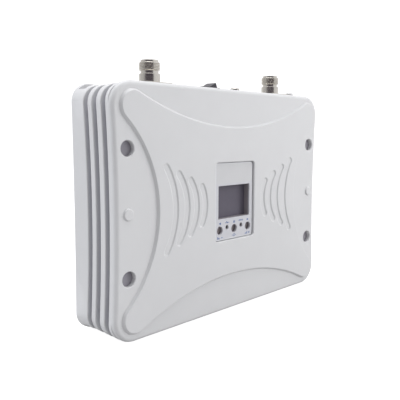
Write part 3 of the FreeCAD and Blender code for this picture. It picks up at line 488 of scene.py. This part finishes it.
def overlay_marks():
    """Arrows and a pause mark over the keys, pulse lines over the lamps, bars and a ring below."""
    shapes = []
    shapes += shifted([[(-1.35, 0.0), (1.15, -1.0), (1.15, 1.0)]], -17.8, KEY_ROW + 5.75)
    shapes += shifted([[(1.35, 0.0), (-1.15, 1.0), (-1.15, -1.0)]], 17.8, KEY_ROW + 5.65)
    shapes += shifted([bar(-1.0, -0.25, -0.95, 0.95), bar(0.25, 1.0, -0.95, 0.95)], 0.0, KEY_ROW + 5.65)
    pulse = [(-2.6, -0.3), (-1.3, -0.3), (-0.7, 0.9), (0.1, -0.9), (0.7, 0.4), (1.1, -0.3), (2.5, -0.3)]
    shapes += shifted(stroke(pulse, LINE), -8.9, LAMP_ROW + 4.1)
    wave = [(-3.1, -0.7), (-2.3, 0.6), (-1.5, -0.7), (-0.7, 0.6)]
    wave += [(0.1, -0.7), (0.9, 0.6), (1.7, -0.7), (2.5, 0.6)]
    shapes += shifted(stroke(wave, LINE), 8.9, LAMP_ROW + 4.1)
    falling = [bar(-3.2, -2.5, -1.0, 1.1), bar(-2.0, -1.3, -1.0, 0.5), bar(-0.8, -0.1, -1.0, -0.1)]
    minus = [bar(1.2, 3.2, -0.25, 0.25)]
    shapes += shifted(falling + minus, -17.6, KEY_ROW - 6.2)
    target = ring_mark(0.0, 0.0, 1.0, LINE) + [disc(-2.2, 0.0, 0.4), disc(2.2, 0.0, 0.4)]
    shapes += shifted(target, 0.0, KEY_ROW - 5.8)
    rising = [bar(-3.2, -2.5, -1.0, -0.1), bar(-2.0, -1.3, -1.0, 0.5), bar(-0.8, -0.1, -1.0, 1.1)]
    plus = [bar(1.2, 3.2, -0.25, 0.25), bar(1.95, 2.45, -1.0, -0.25), bar(1.95, 2.45, 0.25, 1.0)]
    shapes += shifted(rising + plus, 17.4, KEY_ROW - 6.0)
    print_on("overlay_marks", shapes, overlay_low.y, -1.0, PRINT_BLUE)


def label_marks():
    """Plain bars, boxes and a divider in place of wording."""
    shapes = []
    for row, length in enumerate((46.0, 62.0, 38.0, 54.0, 30.0)):
        z = LABEL_TOP_LINE - 5.0 * row
        shapes.append(bar(LABEL_RIGHT - length, LABEL_RIGHT, z, z + 1.6))
    shapes.append(bar(-LABEL_RIGHT, LABEL_RIGHT, 84.5, 85.0))
    for step in range(5):
        x = 30.0 - 9.0 * step
        shapes += stroke([(x - 3, 72.5), (x + 3, 72.5), (x + 3, 78.5), (x - 3, 78.5), (x - 3, 72.5)], 0.5)
        shapes.append(disc(x, 75.5, 0.7 + 0.3 * step))
    print_on("label_marks", shapes, label_high.y, 1.0, PRINT_GREY)


overlay_marks()
label_marks()


# ---------------------------------------------------------------- floor, light and camera
def direction_part(tree, vector, axis):
    """How far a vector points along an axis."""
    facing = tree.nodes.new("ShaderNodeVectorMath")
    facing.operation = "DOT_PRODUCT"
    facing.inputs[1].default_value = axis
    tree.links.new(vector, facing.inputs[0])
    return facing.outputs["Value"]


FLOOR_HALF = 6.0
FLOOR_NEAR = -4.0
FLOOR_FAR = 2.0
BEND = 1.5
BEND_STEPS = 12
BACKDROP_TOP = 5.0
LIGHT_AIM = Vector((0.0, 0.0, 0.1))


def make_floor():
    """Large pale floor that curves up into a backdrop far behind the case."""
    mesh = bpy.data.meshes.new("studio_floor")
    build = bmesh.new()
    path = [(FLOOR_NEAR, 0.0), (FLOOR_FAR, 0.0)]
    for step in range(1, BEND_STEPS + 1):
        angle = math.radians(90.0 * step / BEND_STEPS)
        path.append((FLOOR_FAR + BEND * math.sin(angle), BEND - BEND * math.cos(angle)))
    path.append((FLOOR_FAR + BEND, BACKDROP_TOP))
    turn = Matrix.Rotation(math.radians(CAMERA_YAW), 3, "Z")
    rows = []
    for reach, height in path:
        ends = (-FLOOR_HALF, FLOOR_HALF)
        rows.append([build.verts.new(turn @ Vector((side, reach, height))) for side in ends])
    for lower, upper in zip(rows, rows[1:]):
        build.faces.new((lower[0], lower[1], upper[1], upper[0]))
    build.to_mesh(mesh)
    build.free()
    floor = bpy.data.objects.new("studio_floor", mesh)
    bpy.context.scene.collection.objects.link(floor)
    for polygon in mesh.polygons:
        polygon.use_smooth = True
    material = surface("studio_white", (0.34, 0.34, 0.34), 0.9, grain=20.0, contrast=0.004, specular=0.1)
    shader = material.node_tree.nodes["Principled BSDF"]
    shader.inputs["Emission Color"].default_value = WHITE + (1.0,)
    tree = material.node_tree
    coords = tree.nodes.new("ShaderNodeTexCoord")
    behind = direction_part(tree, coords.outputs["Object"], BEHIND)
    lighting = ramp_between(tree, behind, NEAR_REACH, FAR_REACH, NEAR_GLOW, FAR_GLOW)
    rays = tree.nodes.new("ShaderNodeLightPath")
    glow = tree.nodes.new("ShaderNodeMix")
    glow.inputs["B"].default_value = SEEN_GLOW
    tree.links.new(rays.outputs["Is Camera Ray"], glow.inputs["Factor"])
    tree.links.new(lighting, glow.inputs["A"])
    tree.links.new(glow.outputs["Result"], shader.inputs["Emission Strength"])
    mesh.materials.append(material)


def area_light(name, place, side, power, colour=WHITE):
    """Square light that faces the middle of the case."""
    data = bpy.data.lights.new(name, "AREA")
    data.shape = "SQUARE"
    data.size = side
    data.energy = power
    data.color = colour
    light = bpy.data.objects.new(name, data)
    light.location = place
    light.rotation_euler = (LIGHT_AIM - Vector(place)).to_track_quat("-Z", "Y").to_euler()
    bpy.context.scene.collection.objects.link(light)
    return light


def make_world():
    """White behind the case, and for lighting a studio with one dark quarter towards the front left."""
    world = bpy.data.worlds.new("studio")
    bpy.context.scene.world = world
    world.use_nodes = True
    tree = world.node_tree
    background = tree.nodes["Background"]
    coords = tree.nodes.new("ShaderNodeTexCoord")
    across = direction_part(tree, coords.outputs["Generated"], DARK_ACROSS)
    towards = direction_part(tree, coords.outputs["Generated"], DARK_TOWARDS)
    split = tree.nodes.new("ShaderNodeSeparateXYZ")
    tree.links.new(coords.outputs["Generated"], split.inputs["Vector"])
    soft_left = ramp_between(tree, across, *DARK_LEFT_SIDE, 0.0, 1.0)
    sharp_right = ramp_between(tree, across, *DARK_RIGHT_SIDE, 1.0, 0.0)
    near_side = ramp_between(tree, towards, *DARK_BACK_SIDE, 0.0, 1.0)
    below_sky = ramp_between(tree, split.outputs["Z"], *DARK_TOP_SIDE, 1.0, 0.0)
    dark = maths(tree, "MULTIPLY", soft_left, sharp_right)
    dark = maths(tree, "MULTIPLY", dark, near_side)
    dark = maths(tree, "MULTIPLY", dark, below_sky)
    side = ramp_between(tree, split.outputs["X"], -1.0, 1.0, LEFT_LIGHT, RIGHT_LIGHT)
    sky = ramp_between(tree, split.outputs["Z"], 0.0, 1.0, 0.0, SKY_LIGHT)
    lit = tree.nodes.new("ShaderNodeVectorMath")
    lit.operation = "SCALE"
    lit.inputs[0].default_value = BRIGHT_AIR
    tree.links.new(maths(tree, "ADD", side, sky), lit.inputs["Scale"])
    studio = blend_colour(tree, dark, lit.outputs["Vector"], DARK_AIR)
    rays = tree.nodes.new("ShaderNodeLightPath")
    colour = blend_colour(tree, rays.outputs["Is Camera Ray"], studio, WHITE)
    tree.links.new(colour, background.inputs["Color"])


def make_camera():
    """Camera at the front left, level but for a slight tilt down and a hair of roll."""
    data = bpy.data.cameras.new("camera")
    data.lens = CAMERA_LENS
    data.sensor_width = 36.0
    data.shift_y = CAMERA_SHIFT_Y
    data.clip_start = 0.01
    data.clip_end = 50.0
    camera = bpy.data.objects.new("camera", data)
    level = Matrix.Rotation(math.radians(90.0 + CAMERA_PITCH), 4, "X")
    heading = Matrix.Rotation(math.radians(CAMERA_YAW), 4, "Z")
    roll = Matrix.Rotation(math.radians(CAMERA_ROLL), 4, "Z")
    camera.matrix_world = Matrix.Translation(CAMERA_PLACE) @ heading @ level @ roll
    bpy.context.scene.collection.objects.link(camera)
    bpy.context.scene.camera = camera


make_floor()
make_world()
area_light("key_overhead", (0.0, 0.05, 1.7), 1.3, 14.0)
area_light("fill_right", (1.05, -0.9, 0.28), 0.8, 10.4).visible_glossy = False
area_light("fill_left", (-1.5, 0.9, 0.5), 1.2, 13.2, (0.92, 0.95, 1.0)).visible_glossy = False
make_camera()
bpy.context.scene.view_settings.view_transform = "Standard"
